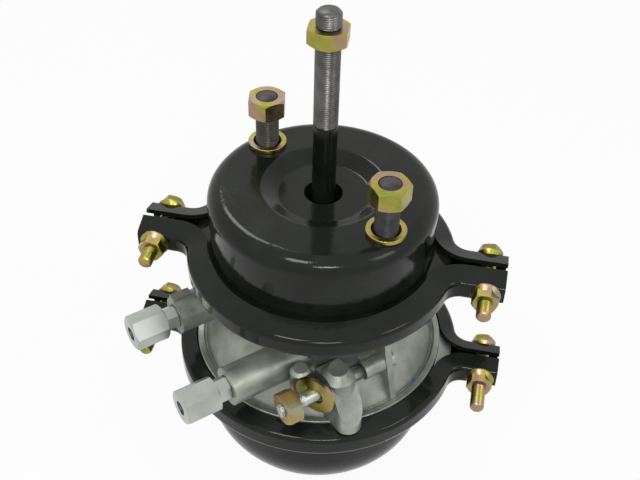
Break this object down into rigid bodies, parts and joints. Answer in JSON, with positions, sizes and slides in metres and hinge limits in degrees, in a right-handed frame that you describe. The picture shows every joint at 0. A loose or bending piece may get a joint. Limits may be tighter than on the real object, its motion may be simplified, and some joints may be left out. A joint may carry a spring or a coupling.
{
  "type": "air brake chamber",
  "caption": "Double-diaphragm spring brake chamber for a heavy vehicle: service chamber with pushrod and two studs, ported cast centre body and spring chamber.",
  "frame": {"origin": "Centre of the mounting face of the service housing, midway between the two studs.", "axes": "+Z along the pushrod, out of the mounting face; +X from the centre towards one mounting stud; +Y completes the right-handed frame. The air ports face close to -Y."},
  "size_m": [0.2457, 0.2424, 0.3664],
  "materials": {
    "black_paint": "glossy black paint over pressed steel",
    "cast_aluminium": "sand-cast, matt",
    "yellow_zinc": "yellow passivated zinc plating on steel",
    "bright_zinc": "bright zinc plating on steel",
    "bare_steel": "bare rolled thread, dark grey",
    "spring_steel": "oil-hardened spring wire",
    "black_rubber": "moulded rubber",
    "grey_bush": "moulded bearing plastic",
    "plated_steel": "dull plated steel"
  },
  "bodies": {
    "chamber": {"service_housing": "black_paint", "mounting_studs": "bare_steel", "stud_nuts": "yellow_zinc", "stud_lock_washers": "yellow_zinc", "service_return_spring": "spring_steel", "service_diaphragm": "black_rubber", "upper_clamp_front": "black_paint", "upper_clamp_rear": "black_paint", "upper_clamp_bolts": "yellow_zinc", "upper_clamp_nuts": "yellow_zinc", "flange_body": "cast_aluminium", "port_fittings": "bright_zinc", "port_seals": "black_rubber", "union_nuts": "bright_zinc", "tube_sleeves": "bright_zinc", "caging_bolt": "bright_zinc", "caging_washer": "yellow_zinc", "caging_nut": "yellow_zinc", "centre_bushing": "grey_bush", "bushing_retainer": "spring_steel", "centre_seals": "black_rubber", "adapter_return_spring": "spring_steel", "lower_clamp_front": "black_paint", "lower_clamp_rear": "black_paint", "lower_clamp_bolts": "yellow_zinc", "lower_clamp_nuts": "yellow_zinc", "spring_diaphragm": "black_rubber", "power_spring": "spring_steel", "spring_chamber": "black_paint", "dust_plug": "black_rubber"},
    "pushrod_group": {"pushrod": "bare_steel", "pushrod_nut": "yellow_zinc", "push_plate": "plated_steel"},
    "parking_group": {"adapter_rod": "plated_steel", "adapter_plate": "plated_steel", "pressure_plate": "plated_steel"}
  },
  "joints": [
    {"name": "parking_stroke", "type": "slide", "parent": "chamber", "child": "parking_group", "axis": [0, 0, 1], "range_m": [-0.057, 0], "stiffness_N_per_m": 900, "springref_m": 0.03, "deforming": ["power_spring", "spring_diaphragm", "adapter_return_spring"]},
    {"name": "pushrod_stroke", "type": "slide", "parent": "chamber", "child": "pushrod_group", "axis": [0, 0, 1], "range_m": [-0.057, 0], "deforming": ["service_return_spring", "service_diaphragm"]}
  ],
  "couplings": [
    {"joint": "pushrod_stroke", "follows": "parking_stroke", "ratio": 1}
  ]
}
